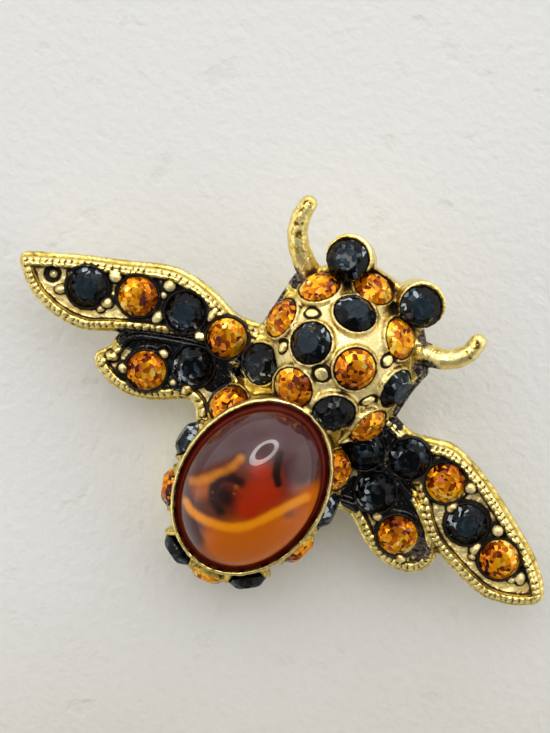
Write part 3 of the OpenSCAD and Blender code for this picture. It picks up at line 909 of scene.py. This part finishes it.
@dataclass
class CastMetal:
    """The bee's one casting, with soft cast edges, rope-like rims, bead sockets, patina, painted shade in its creases
    and painted highlights on its beads.

    The grid is its new skin's cell. The rope's beads have a length, and it lies in from the outline by a distance,
    give or take half its width. Prongs rise by a share of their width, and rays reach out to find hidden places.
    """

    bee: Bee
    grid: float = 0.115
    rope: float = 0.52
    rope_in: tuple[float, float] = (0.58, 0.26)
    rope_rise: float = 0.19
    socket_rise: float = 0.16
    socket_groove: float = 0.2
    prong_rise: float = 1.1
    skin_bumps: tuple[float, float] = (0.03, 0.016)
    reach: float = 1.3
    rays: int = 14

    def softened(self) -> Piece:
        """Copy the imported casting, rebuild its skin evenly and round its edges.

        Returns:
            The metal, on the flat bee.
        """
        piece = again(self.bee.frame["nodes"]["casting"], "cast_metal")
        piece.parent = None
        for key in list(piece.keys()):
            del piece[key]
        piece.data.transform(self.bee.flat)
        with editing(piece):
            bpy.ops.mesh.remove_doubles(threshold=MERGE)
        finished(piece, "REMESH", mode="VOXEL", voxel_size=self.grid)
        finished(piece, "SMOOTH", factor=0.5, iterations=4)
        x, y, z = corners(piece).T
        dome = np.flatnonzero((z > 1.0) & (y > -5.5) & (np.abs(x) < 6.2))
        piece.vertex_groups.new(name="dome").add(dome.tolist(), 1.0, "REPLACE")
        finished(piece, "SMOOTH", factor=0.5, iterations=8, vertex_group="dome")
        return piece

    def rims(self, co: Points) -> tuple[Points, Points, Points, Points]:
        """Find each wing vertex's nearest rim.

        Args:
            co: the vertices.

        Returns:
            Distance in from the wing's outline, length along it, and whether the vertex is on a wing and on a fore
            wing.
        """
        layout = self.bee.layout
        inwards, along = np.full(len(co), 9.0), np.zeros(len(co))
        on_wing, fore = np.zeros(len(co), bool), np.zeros(len(co), bool)
        for side, ahead, table in (
            (-1, True, LEFT_FORE), (1, True, RIGHT_FORE), (-1, False, LEFT_HIND), (1, False, RIGHT_HIND),
        ):
            line = layout.outline(table, side)
            steps = np.r_[0, np.cumsum(np.linalg.norm(np.diff(line, axis=0), axis=1))]
            tree = kdtree.KDTree(len(line))
            for k, (x, y) in enumerate(line):
                tree.insert((x, y, 0), k)
            tree.balance()
            raised = (co[:, 0] * side > layout.bezel_b + 0.2) & (co[:, 2] > 0.2) & (co[:, 2] < 3)
            found = np.flatnonzero(raised & ~on_wing & self.within(co, line))
            for k in found:
                _, near, inwards[k] = tree.find((co[k, 0], co[k, 1], 0))
                along[k] = steps[near]
            on_wing[found] = True
            fore[found] = ahead
        return inwards, along, on_wing, fore

    def within(self, co: Points, line: Points) -> Points:
        """Say which vertices lie inside an outline, seen from above, or just outside it.

        Args:
            co: the vertices.
            line: the outline, two columns.

        Returns:
            True or False for each vertex.
        """
        inside = np.zeros(len(co), bool)
        x, y = co[:, 0], co[:, 1]
        away = line - line.mean(axis=0)
        grown = line + 0.12 * away / np.linalg.norm(away, axis=1)[:, None]
        for (x0, y0), (x1, y1) in zip(grown, np.roll(grown, -1, axis=0)):
            crosses = (y0 > y) != (y1 > y)
            with np.errstate(divide="ignore", invalid="ignore"):
                inside ^= crosses & (x < (x1 - x0) * (y - y0) / (y1 - y0) + x0)
        return inside

    def oval(self, co: Points, row: tuple[float, ...]) -> Points:
        """Measure how far each vertex is from the middle of an oval, seen from above.

        Args:
            co: the vertices.
            row: the oval's place, half length, half width and turn in degrees.

        Returns:
            Shares of the oval's size, 1 on its edge.
        """
        x, y, a, b, turn = row
        u, v = turned(co[:, 0] - x, co[:, 1] - y, math.radians(turn))
        return np.hypot(u / a, v / b)

    def sockets(self, co: Points) -> tuple[Points, Points, Points]:
        """Press the flat beads into the dome.

        Args:
            co: the vertices.

        Returns:
            The vertices with the beads in their grooves, and for each bead the painted shade in its groove and the
            painted highlight on its top.
        """
        dark, shine = np.zeros(len(co)), np.zeros(len(co))
        heart = np.array(self.bee.layout.thorax_heart) * self.bee.layout.thorax_r
        skin = self.bee.layout.thorax_r - self.bee.layout.dome_sink
        out = co.copy()
        for front, side, long, wide, turn in DOME_SOCKETS:
            f, s = math.radians(front), math.radians(side)
            aim = np.array([math.sin(s), math.cos(s) * math.sin(f), math.cos(s) * math.cos(f)])
            right = np.array([math.cos(s), -math.sin(s) * math.sin(f), -math.sin(s) * math.cos(f)])
            ahead = np.cross(aim, right)
            offset = co - heart
            spot = np.stack([offset @ right, offset @ ahead], axis=1)
            q = self.oval(spot, (0, 0, long, wide, turn))
            near = (offset @ aim > skin * 0.9) & (q < 1.4)
            crown = self.socket_rise * (1 - 0.5 * q * q) * (1 - ease(q, 0.7, 0.9))
            groove = -self.socket_groove * hill(q, 1.02, 0.17)
            level = np.linalg.norm(offset, axis=1)
            share = (1 - ease(q, 1.15, 1.4)) * near
            scale = 1 + share * ((skin + 0.06 + crown + groove) / level - 1)
            out = np.where(near[:, None], heart + offset * scale[:, None], out)
            dark = np.maximum(dark, hill(q, 1.04, 0.16) * near)
            shine = np.maximum(shine, (1 - ease(q, 0.6, 0.85)) * near)
        return out, dark, shine

    def trimmed(self, co: Points) -> Points:
        """Draw the abdomen's wall in under the bezel, so that its stones show from above.

        Args:
            co: the vertices.

        Returns:
            The vertices, with the wall drawn in.
        """
        layout = self.bee.layout
        q = self.oval(co, (0, layout.bezel_y, layout.bezel_b, layout.bezel_a, 0))
        share = ease(co[:, 2], 3.8, 4.6) * ease(-co[:, 1], 3.9, 4.6)
        scale = 1 - share * np.clip(q - 1.0, 0, 0.3) / q
        out = co.copy()
        out[:, 0] *= scale
        out[:, 1] = layout.bezel_y + (out[:, 1] - layout.bezel_y) * scale
        return out

    def prongs(self, co: Points) -> tuple[Points, Points, Points]:
        """Raise the small beads on the wings.

        Args:
            co: the vertices.

        Returns:
            The vertices with the beads, and for each bead the painted shade round its foot and the painted highlight
            on its top.
        """
        dark, shine = np.zeros(len(co)), np.zeros(len(co))
        out = co.copy()
        for row in PRONGS:
            q = self.oval(co, row)
            near = (q < 1.5) & (co[:, 2] > 0.5) & (co[:, 2] < 2.6)
            if not near.any():
                continue
            foot = np.median(co[near & (q < 1.2), 2])
            bump = foot + min(row[2:4]) * self.prong_rise * np.sqrt(np.clip(1 - q * q, 0, 1))
            out[:, 2] = np.where(near & (q < 1), np.maximum(out[:, 2], bump), out[:, 2])
            dark = np.maximum(dark, hill(q, 1.15, 0.2) * near)
            shine = np.maximum(shine, (1 - ease(q, 0.7, 1.0)) * near)
        return out, dark, shine

    def seat_rings(self, co: Points) -> Points:
        """Find the thin ring of metal round each stone.

        Args:
            co: the vertices.

        Returns:
            1 on a ring, falling to 0 outside it.
        """
        ring = np.zeros(len(co))
        for seat in self.bee.seats:
            radius, height = seat.local(co)
            ring = np.maximum(ring, (1 - ease(radius, 1.76, 2.0)) * (np.abs(height) < 0.6))
        return ring

    def hollows(self, piece: Piece) -> Points:
        """Measure how hidden each vertex is, with short rays that meet the metal, the stones and the glass.

        Args:
            piece: the metal.

        Returns:
            A number for each vertex, from 0 in the open to 1 in hiding.
        """
        nodes = [seat.node for seat in self.bee.seats] + ["cabochon"]
        stones = self.bee.tree(*nodes)
        skin = BVHTree.FromObject(piece, bpy.context.evaluated_depsgraph_get())
        golden = math.pi * (3 - math.sqrt(5))
        spread = []
        for k in range(self.rays):
            up = math.sqrt(1 - (k + 0.5) / self.rays * 0.96)
            flat = math.sqrt(1 - up * up)
            spread.append(Vector((flat * math.cos(golden * k), flat * math.sin(golden * k), up)))
        hidden = np.zeros(len(piece.data.vertices))
        for k, (p, n) in enumerate(zip(corners(piece), outward(piece))):
            if n[2] < -0.75:
                continue
            normal = Vector(n)
            turn = normal.to_track_quat("Z", "X")
            start = Vector(p) + normal * 0.03
            for ray in spread:
                aim = turn @ ray
                gap = min(tree.ray_cast(start, aim, self.reach)[3] or self.reach for tree in (skin, stones))
                hidden[k] += 1 - gap / self.reach
        return hidden / self.rays

    def spread(self, co: Points, rows: Sequence[tuple[float, ...]], full: float, none: float) -> Points:
        """Fill some ovals, each from where it is full out to where it ends."""
        return np.maximum.reduce([1 - ease(self.oval(co, row), full, none) for row in rows])

    def grime(self, co: Points) -> Points:
        """Say where patina has gathered: in the corners beside the thorax and between the antennae and the eyes."""
        return self.spread(co, GRIME, 0.3, 1.35) * (1 - ease(co[:, 2], 3.0, 4.0))

    def enamel(self, co: Points) -> Points:
        """Say where black enamel fills the metal: at the wings' roots and beside the black wing stones."""
        fill = self.spread(co, ENAMEL, 0.72, 1.15)
        return fill * ease(co[:, 2], 0.3, 0.6) * (1 - ease(co[:, 2], 3.2, 4.2))

    def tip_ring(self, co: Points) -> Points:
        """Paint shade into the round hollow with a bead in it, near the left wing's tip."""
        return hill(self.oval(co, (*TIP_HOLLOW, 1, 1, 0)), 0.5, 0.2) * (co[:, 2] > 0.5)

    def antenna_shade(self, co: Points, up: Points) -> Points:
        """Paint shade into a rough groove along the top of each antenna.

        Args:
            co: the vertices.
            up: their normals.

        Returns:
            The painted shade of each vertex.
        """
        outside = ease(co[:, 1], 5.0, 5.8) * ease(np.abs(co[:, 0]), 5.2, 5.8)
        ragged = ease(grain(co, 2.2, 8.0) + 0.7 * grain(co, 5.0, 2.0), -0.1, 0.5)
        return 0.62 * outside * ease(up[:, 2], 0.7, 0.95) * ragged

    def pieces(self) -> list[Piece]:
        """Sculpt and paint the metal, and part it.

        Returns:
            The wings, the thorax and the abdomen.
        """
        metal = self.softened()
        co, dark, shine = self.sockets(corners(metal))
        co, under, prong_highlight = self.prongs(self.trimmed(co))
        shape(metal, co)
        up = outward(metal)
        inwards, along, on_wing, fore = self.rims(co)

        # Relief: the rope along each rim, the groove outside it, and cast unevenness that enamel smooths
        top = ease(up[:, 2], 0.1, 0.6) * on_wing
        crest = hill(inwards, *self.rope_in) * top
        waver = 0.5 * np.sin(along) + grain(co, 1.1, 11.0)
        beads = np.abs(np.sin(math.pi * along / self.rope + waver)) ** 0.7 - 0.55
        beads = beads * (1 + 0.8 * grain(co, 0.8, 2.0))
        groove = hill(inwards, 0.24, 0.09) * top
        floor = top * ease(inwards, 0.95, 1.2)
        cast = self.skin_bumps[0] * grain(co, 1.6) + self.skin_bumps[1] * grain(co, 4.5, 3.0)
        cast = cast * (1 + 1.6 * floor) * (1 - np.maximum(dark, shine))
        lift = (self.rope_rise * crest * beads - 0.03 * groove + cast) * (1 - 0.85 * self.enamel(co) * ~fore)
        shape(metal, co + up * lift[:, None])

        # Paint, on the metal as it now is: patina and painted shade in the hollows and creases, painted highlights,
        # matt, grime and enamel
        co = corners(metal)
        rings = self.seat_rings(co)
        flange = on_wing * (1 - ease(inwards, 0.15, 0.4)) * ease(grain(co, 0.9, 9.0) + grain(co, 3.0, 4.0), -0.4, 0.5)
        # Painted shade in the socket grooves, round the prong feet, inside and outside the rims, at the outer edge,
        # between the rope's beads, in the antennae's grooves, round the stones and in the tip's hollow
        ink = (
            dark, 0.8 * under, 0.75 * hill(inwards, 1.0, 0.13) * top, 0.3 * groove, 0.3 * flange,
            1.05 * crest * ease(-beads, -0.15, 0.35), self.antenna_shade(co, up), rings * np.maximum(on_wing, 0.3),
            self.tip_ring(co),
        )
        crown = ease(co[:, 2], 3.0, 4.2) * ease(co[:, 1], -4.6, -3.4) * ease(up[:, 2], 0.3, 0.8)
        bare = np.maximum(0.85 * crest * fore, 0.7 * rings * ease(grain(co, 0.9, 5.0), 0.0, 0.3))
        # How hidden each vertex is darkens the gold: patina in the hollows, and painted shade there
        paint(metal, "recess", self.hollows(metal))
        paint(metal, "ink", np.maximum.reduce(ink) - 0.1 * floor)
        # Painted highlights on the tops of the beads and of the rope's crests
        paint(metal, "shine", np.maximum.reduce([shine, prong_highlight, crest * ease(beads, 0.0, 0.4)]))
        paint(metal, "matt", np.maximum(0.65 * floor, 0.55 * crown) * (1 - np.maximum(shine, dark)))
        paint(metal, "grime", self.grime(co) * ~fore)
        paint(metal, "enamel", self.enamel(co) * (1 - bare) * (1 - prong_highlight))
        return self.parted(metal)

    def parted(self, metal: Piece) -> list[Piece]:
        """Cut copies of the metal down to wings, thorax and abdomen, and remove the whole.

        Args:
            metal: the whole.

        Returns:
            The copies, each closed.
        """
        left, right, behind = ((-ROOT, 0, 0), (-1, 0, 0)), ((ROOT, 0, 0), (1, 0, 0)), ((0, WAIST, 0), (0, -1, 0))
        cuts = {
            "wings_left": (((-ROOT, 0, 0), (1, 0, 0)),),
            "wings_right": (((ROOT, 0, 0), (-1, 0, 0)),),
            "thorax_and_head": (left, right, behind),
            "abdomen_cup": (left, right, ((0, WAIST, 0), (0, 1, 0))),
        }
        parts = []
        for name, planes in cuts.items():
            part = again(metal, name)
            for place, away in planes:
                with editing(part):
                    bpy.ops.mesh.bisect(plane_co=place, plane_no=away, use_fill=True, clear_outer=True)
            smoothed(part)
            parts.append(part)
        bpy.data.objects.remove(metal)
        return parts


# Stones


@dataclass
class Chaton:
    """Round cut stone, cut once from a round blank and copied to each seat.

    Sizes but the edge's are shares of the diameter. The planes of the upper facets have a slope in degrees, a share
    of the radius and a drop under the table. From stone to stone, the turn and the tone go on by a step.
    """

    diameter: float = 3.1
    table: float = 0.56
    crown: float = 0.21
    girdle: float = 0.05
    pavilion: float = 0.4
    point: float = 0.08
    star: float = 27.0
    upper: tuple[float, float, float] = (48.0, 0.713, 0.166)
    worn_edge: float = 0.03
    fit: float = 0.995
    turn_step: float = 1.3
    tone_step: float = 0.137

    def cut(self) -> Piece:
        """Cut the crown's facets with flat cuts, draw the pavilion out to its point and soften every edge.

        Returns:
            The stone, round the Z axis.
        """
        r, low = self.diameter / 2, self.girdle * self.diameter / 2
        top = low + self.crown * self.diameter
        bpy.ops.mesh.primitive_cylinder_add(vertices=64, radius=r, depth=top + low, location=(0, 0, (top - low) / 2))
        stone = started("chaton")
        table_r = self.table * r
        slope, out, drop = self.upper
        cuts = [(45 * k, table_r, top, math.atan2(top - low, r - table_r)) for k in range(8)]
        cuts += [(45 * k + 22.5, table_r * math.cos(math.pi / 8), top, math.radians(self.star)) for k in range(8)]
        cuts += [(22.5 * k + 11.25, out * r, top - drop, math.radians(slope)) for k in range(16)]
        with editing(stone):
            for turn, out, height, slope in cuts:
                c, s = math.cos(math.radians(turn)), math.sin(math.radians(turn))
                away = (math.sin(slope) * c, math.sin(slope) * s, math.cos(slope))
                bpy.ops.mesh.select_all(action="SELECT")
                place = (out * c, out * s, height)
                bpy.ops.mesh.bisect(plane_co=place, plane_no=away, use_fill=True, clear_outer=True)
        with editing(stone):
            bpy.ops.mesh.remove_doubles(threshold=0.002)
            bpy.ops.mesh.select_mode(type="FACE")
            bpy.ops.mesh.select_all(action="DESELECT")
        for face in stone.data.polygons:
            face.select = face.normal.z < -0.9
        bpy.ops.object.mode_set(mode="EDIT")
        bpy.ops.mesh.extrude_region_move(TRANSFORM_OT_translate={"value": (0, 0, -self.pavilion * self.diameter)})
        bpy.ops.transform.resize(value=(self.point, self.point, 1))
        bpy.ops.object.mode_set(mode="OBJECT")
        finished(stone, "BEVEL", width=self.worn_edge, segments=1, limit_method="ANGLE", angle_limit=math.radians(9))
        return stone

    def set_in(self, master: Piece, seat: StoneSeat, count: int) -> Piece:
        """Copy the master stone into a seat and store its own coordinates.

        Args:
            master: the stone round the Z axis.
            seat: where it goes.
            count: the stone's number, which sets its turn and its tones.

        Returns:
            The stone, on the flat bee.
        """
        stone = again(master, seat.node.replace("_stone", "_chaton"))
        own = corners(stone)
        shade = np.full((len(own), 1), (count * self.tone_step) % 1)
        paint(stone, "cut", np.hstack([own[:, :2] / (self.diameter / 2), shade]))
        size = Matrix.Scale(seat.diameter / self.diameter * self.fit, 4)
        turn = Matrix.Rotation(count * self.turn_step, 4, "Z") @ size
        aim = seat.axis.to_track_quat("Z", "Y").to_matrix().to_4x4()
        stone.data.transform(Matrix.Translation(seat.middle) @ aim @ turn)
        return stone


@dataclass
class Abdomen:
    """The glass dome of the abdomen, with a low ledge and a soft bead at a share of its width, and its bezel."""

    layout: Layout
    length: float = 14.0
    width: float = 10.7
    rise: float = 3.88
    lip: float = 0.5
    dome_share: float = 0.915
    ledge: float = 0.32
    bead: float = 0.12

    def dome(self) -> Piece:
        """Cut a ball in half, draw its edge down for the girdle, and squeeze it to an oval.

        Returns:
            The glass, painted, on the flat bee.
        """
        bpy.ops.mesh.primitive_uv_sphere_add(segments=128, ring_count=96, radius=1)
        glass = started("glass_dome")
        with editing(glass):
            bpy.ops.mesh.bisect(plane_co=(0, 0, 0), plane_no=(0, 0, -1), use_fill=True, clear_outer=True)
        co = corners(glass)
        high = co[:, 2] > 0.001
        out = np.hypot(co[:, 0], co[:, 1])
        inner = np.sqrt(np.clip(1 - (out / (self.dome_share + 0.012)) ** 2, 0, 1)) ** 0.94 * self.rise
        ledge = self.ledge * (1 - ease(out, 0.94, 1.0))
        over = np.maximum(inner, ledge) + self.bead * hill(out, self.dome_share, 0.02)
        co[:, 2] = np.where(high, np.minimum(over, self.rise), -self.lip) + self.layout.girdle_z
        co[:, 0] *= self.width / 2
        co[:, 1] = co[:, 1] * self.length / 2 + self.layout.bezel_y
        shape(glass, co)
        self.swirl(glass, co[:, :2])
        smoothed(glass)
        return glass

    def swirl(self, glass: Piece, flat: Points) -> None:
        """Paint the bands, the lower field, the red heart, the dark core and its embers, the painted reflection of
        the room and the rim.

        Args:
            glass: the dome.
            flat: its vertices, seen from above.
        """
        mist = np.maximum(self.stroke(flat, MIST, 1.1), 0.5 * self.pools(flat, (3.4, -10.9, 0.8)))
        under_band = self.stroke(flat, [(x + 0.5, y - 1.5) for x, y in LOWER_BAND], 1.9)
        below = (under_band + 0.7 * self.pools(flat, (2.6, -14.6, 2.4))) * (1 - 0.95 * mist)
        beside = (0.55 * self.pools(flat, (-3.2, -12.8, 1.5)), 0.8 * self.pools(flat, (4.0, -9.2, 1.4)))
        middle = 0.95 * self.pools(flat, (-1.45, -12.35, 1.3))
        hook, arc = 0.95 * self.stroke(flat, HOOK, 0.55), 1.1 * self.stroke(flat, ARC, 0.36)
        across, along = flat[:, 0] / (self.width / 2), (flat[:, 1] - self.layout.bezel_y) / (self.length / 2)
        bands = (self.stroke(flat, LOWER_BAND, 0.46), 0.62 * self.stroke(flat, UPPER_BAND, 0.5))
        paint(glass, "band", np.maximum(*bands))
        paint(glass, "field", np.maximum.reduce([below, *beside]))
        paint(glass, "heart", self.pools(flat, *HEARTS))
        paint(glass, "core", np.maximum.reduce([middle, arc, hook]))
        paint(glass, "ember", self.pools(flat, *EMBERS))
        paint(glass, "gloss", self.haze(flat, mist))
        paint(glass, "rim", ease(np.hypot(across, along), 0.9, 0.925))

    def haze(self, flat: Points, mist: Points) -> Points:
        """Say where the glass gives back the pale room, as painted reflection in its colour and as the strength of
        its coat: above a bent line, at the lamp and in the mist.

        Args:
            flat: the dome's vertices, seen from above.
            mist: how much each one lies in the misty patch of painted reflection.

        Returns:
            The haze of each vertex.
        """
        level = np.interp(flat[:, 0], *np.transpose(HAZE_EDGE))
        above = ease(flat[:, 1] - level, -0.35, 0.5)
        lamp = np.minimum(1.6 * self.pools(flat, (-1.3, -7.8, 1.3)), 1)
        return 0.14 + 0.86 * np.maximum.reduce([above, mist, lamp])

    def stroke(self, flat: Points, line: Line, half: float) -> Points:
        """Draw a soft line smoothly through some points, seen from above.

        Args:
            flat: the dome's vertices.
            line: the points.
            half: half of the line's width.

        Returns:
            1 on the line, falling to 0 beside it.
        """
        best = np.full(len(flat), 99.0)
        bent = flowing(np.array([line[0], *line, line[-1]]), 8)
        for a, b in zip(bent, bent[1:]):
            t = np.clip((flat - a) @ (b - a) / max((b - a) @ (b - a), 1e-9), 0, 1)
            best = np.minimum(best, np.linalg.norm(flat - a - t[:, None] * (b - a), axis=1))
        return hill(best, 0, half)

    def pools(self, flat: Points, *spots: tuple[float, float, float]) -> Points:
        """Give soft round patches, each with its place and its size, seen from above."""
        gaps = [((flat[:, 0] - x) ** 2 + (flat[:, 1] - y) ** 2) / size**2 for x, y, size in spots]
        return np.exp(-np.minimum.reduce(gaps))

    def bezel(self) -> Piece:
        """Wrap a thin rounded strip round the glass.

        Returns:
            The strip, on the flat bee.
        """
        turn = np.linspace(0, 2 * math.pi, 240, endpoint=False)
        loops = []
        for out, z in BEZEL_SECTION:
            ripple = 0.02 * np.sin(turn * 23 + z) + 0.015 * np.sin(turn * 41 + 2 * z)
            a, b = self.layout.bezel_a + out + ripple, self.layout.bezel_b + out + ripple
            loops.append(np.stack([b * np.cos(turn), self.layout.bezel_y + a * np.sin(turn), 0 * turn + z], axis=1))
        ring = wrapped("bezel_ring", loops)
        smoothed(ring)
        return ring


# Table, light and camera


@dataclass
class Studio:
    """The card that the brooch lies on, the strengths of the room's light, the lamp over the glass and the camera."""

    layout: Layout
    bright: float = 1.38
    low: float = 0.3
    dark: float = 0.2
    lamp_lean: float = 24.0
    lamp_turn: float = 68.0
    lamp_squeeze: float = 0.66
    lamp_away: float = 0.2
    aim: tuple[float, float] = (-3.517, -3.582)
    height: float = 0.18
    lens: float = 110.5

    def card(self) -> None:
        """Lay a pale card under the brooch."""
        bpy.ops.mesh.primitive_grid_add(x_subdivisions=40, y_subdivisions=40, size=1.2)
        card = started("pale_card")
        card.data.materials.append(PaleCard().made())
        card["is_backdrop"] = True

    def halo(self) -> None:
        """Hang a ring-shaped lamp with a black middle, which shows in the glass as a small white oval."""
        bpy.ops.mesh.primitive_torus_add(major_radius=0.06, minor_radius=0.013, major_segments=64, minor_segments=12)
        ring = started("ring_lamp")
        bpy.ops.mesh.primitive_circle_add(vertices=48, radius=0.058, fill_type="NGON")
        middle = started("lamp_middle")
        glow = Finish("ring_glow", emission_strength=12.0, emission_color=(1, 0.98, 0.95, 1))
        black = Finish("lamp_black", base_color=(0, 0, 0, 1), roughness=1.0)
        lean = math.radians(self.lamp_lean)
        up = Vector((-math.sin(PHOTO_TURN) * math.sin(lean), math.cos(PHOTO_TURN) * math.sin(lean), math.cos(lean)))
        oval = Matrix.Rotation(math.radians(self.lamp_turn), 4, "Z") @ Matrix.Diagonal((1, self.lamp_squeeze, 1, 1))
        facing = Matrix.Rotation(lean, 4, Vector((-up.y, up.x, 0))) @ oval
        for part, behind, finish in ((ring, 0.0, glow), (middle, 0.002, black)):
            hung = Matrix.Translation(Vector((0, -0.002, 0.013)) + up * (self.lamp_away + behind))
            part.data.transform(hung @ facing)
            part.data.materials.append(finish.material)
            part.visible_camera = part.visible_diffuse = part.visible_shadow = False
            part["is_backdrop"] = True

    def room(self) -> None:
        """Surround the card with a room that is bright ahead and at the sides, and dark overhead and behind."""
        world = bpy.data.worlds.new("room")
        bpy.context.scene.world = world
        world.use_nodes = True
        g = Graph(world.node_tree)
        x, y, z = g.parts(g.node("TexCoord", output="Generated"))
        across, ahead = turned(x, y, PHOTO_TURN)
        bright = g.step(ahead, -0.05, 0.4).topped(g.step(across.unsigned(), 0.45, 0.9))
        low = (1 - g.step(z, 0.2, 0.42)) * (1 - bright)
        strength = bright * self.bright + low * self.low + self.dark
        background = world.node_tree.nodes["Background"]
        background.inputs["Color"].default_value = (1.0, 0.975, 0.98, 1)
        world.node_tree.links.new(strength.socket, background.inputs["Strength"])

    def camera(self) -> None:
        """Look straight down, turned as the photograph is."""
        x, y = self.aim[0] + self.layout.middle_x, self.aim[1] + self.layout.middle_y
        bpy.ops.object.camera_add(location=(x * 0.001, y * 0.001, self.height), rotation=(0, 0, PHOTO_TURN))
        camera = bpy.context.object
        camera.data.lens = self.lens
        camera.data.sensor_width = 36
        camera.data.clip_start = 0.01
        camera.data.clip_end = 5
        bpy.context.scene.camera = camera
        bpy.context.scene.view_settings.view_transform = "Standard"


def box() -> Box:
    """Give the lowest and highest corner of all that stands in the scene."""
    return tuple(tuple(float(v) for v in corner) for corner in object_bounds())


def main() -> None:
    """Build every piece in order and report it."""
    logging.basicConfig(level=logging.INFO, format="%(name)s: %(message)s")
    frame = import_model()
    bee = Bee(frame, box())
    LOG.info("packed box %s", bee.box)
    studio = Studio(bee.layout)
    studio.card()
    studio.room()
    studio.halo()
    studio.camera()

    gold = AntiqueGold().made()
    for part in CastMetal(bee).pieces():
        bee.place(part, gold, "gold_plate", "casting")

    abdomen = Abdomen(bee.layout)
    bee.place(abdomen.dome(), SwirledGlass().made(), "cabochon_glass", "cabochon")
    bee.place(abdomen.bezel(), PlainPlate("bezel_gold").made(), "gold_plate", "casting")

    glass = {tint: finish.made() for tint, finish in GLASS.items()}
    chaton = Chaton()
    master = chaton.cut()
    for count, seat in enumerate(bee.seats):
        bee.place(chaton.set_in(master, seat, count), glass[seat.tint], seat.tint.value, seat.node)
    bpy.data.objects.remove(master)

    pin = bee.frame["nodes"]["pin_back"]
    pin.data.materials.clear()
    pin.data.materials.append(PlainPlate("pin_plate", bright=(0.8, 0.72, 0.5), deep=(0.55, 0.48, 0.32)).made())


if __name__ == "__main__":
    main()
